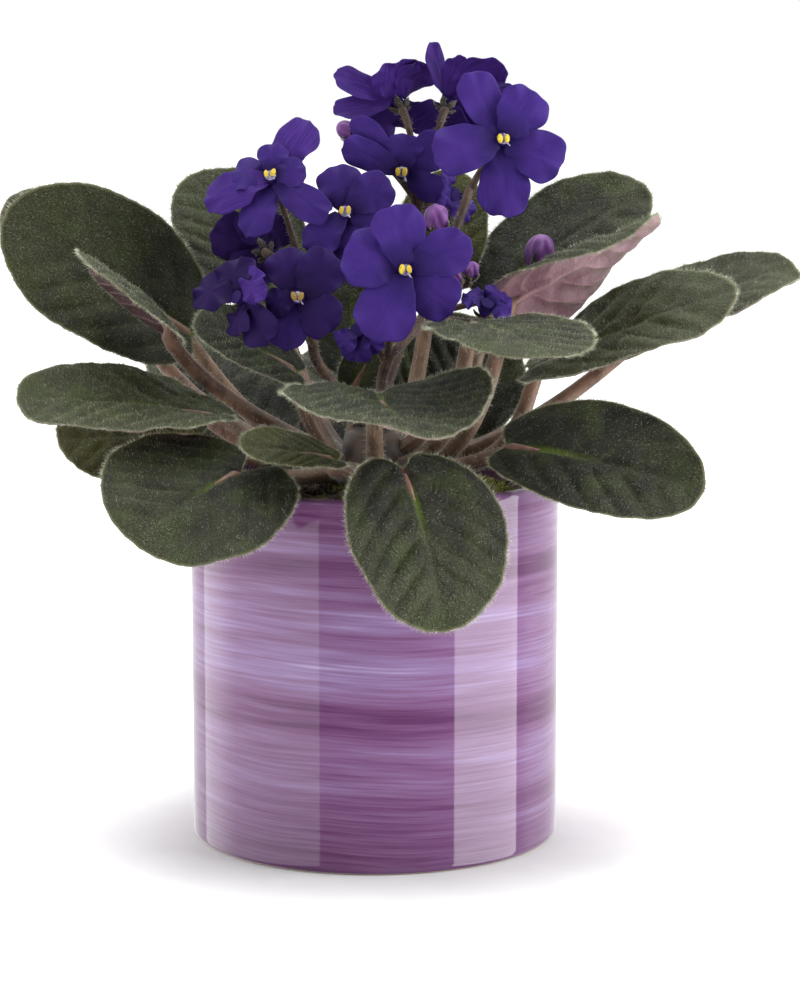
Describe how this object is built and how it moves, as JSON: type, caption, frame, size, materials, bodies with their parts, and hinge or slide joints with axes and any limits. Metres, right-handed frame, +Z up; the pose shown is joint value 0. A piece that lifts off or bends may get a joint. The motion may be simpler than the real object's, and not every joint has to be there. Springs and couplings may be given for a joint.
{
  "type": "potted african violet",
  "caption": "House plant: a rosette of velvety oval leaves on long petioles under a cluster of violet flowers, in a straight glazed cylinder pot.",
  "frame": {"origin": "centre of the pot's flat underside", "axes": "+Z up along the pot's axis; the flowers and the pictured side face -Y; +X to the right as seen from the front"},
  "size_m": [0.2625, 0.1838, 0.2587],
  "materials": {
    "glazed_pot": "gloss",
    "potting_soil": "matte",
    "petioles": "matte",
    "leaf": "matte",
    "young_leaf": "matte",
    "flower_stalk": "matte",
    "petal": "satin",
    "anther": "matte",
    "bud": "satin"
  },
  "bodies": {
    "root": {"crown_and_petioles": "petioles", "flower_01_anthers": "anther", "flower_01_petals": "petal", "flower_02_anthers": "anther", "flower_02_petals": "petal", "flower_03_anthers": "anther", "flower_03_petals": "petal", "flower_04_anthers": "anther", "flower_04_petals": "petal", "flower_05_anthers": "anther", "flower_05_petals": "petal", "flower_06_anthers": "anther", "flower_06_petals": "petal", "flower_07_anthers": "anther", "flower_07_petals": "petal", "flower_08_petals": "petal", "flower_09_anthers": "anther", "flower_09_petals": "petal", "flower_10_petals": "petal", "flower_11_petals": "petal", "flower_12_petals": "petal", "flower_13_anthers": "anther", "flower_13_petals": "petal", "flower_bud_1": "bud", "flower_bud_2": "bud", "flower_bud_3": "bud", "flower_bud_4": "bud", "flower_bud_5": "bud", "flower_stalk_front": "flower_stalk", "flower_stalk_left": "flower_stalk", "flower_stalk_rear": "flower_stalk", "leaf_01": "leaf", "leaf_02": "leaf", "leaf_03": "leaf", "leaf_04": "leaf", "leaf_05": "young_leaf", "leaf_06": "leaf", "leaf_07": "young_leaf", "leaf_08": "leaf", "leaf_09": "leaf", "leaf_10": "leaf", "leaf_11": "leaf", "leaf_12": "leaf", "leaf_13": "leaf", "leaf_14": "leaf", "leaf_15": "leaf", "leaf_16": "leaf", "leaf_17": "leaf", "leaf_18": "young_leaf", "leaf_19": "leaf", "leaf_20": "leaf", "leaf_21": "leaf", "leaf_22": "leaf", "leaf_23": "leaf", "leaf_24": "leaf", "pot": "glazed_pot", "potting_soil": "potting_soil"}
  },
  "joints": []
}
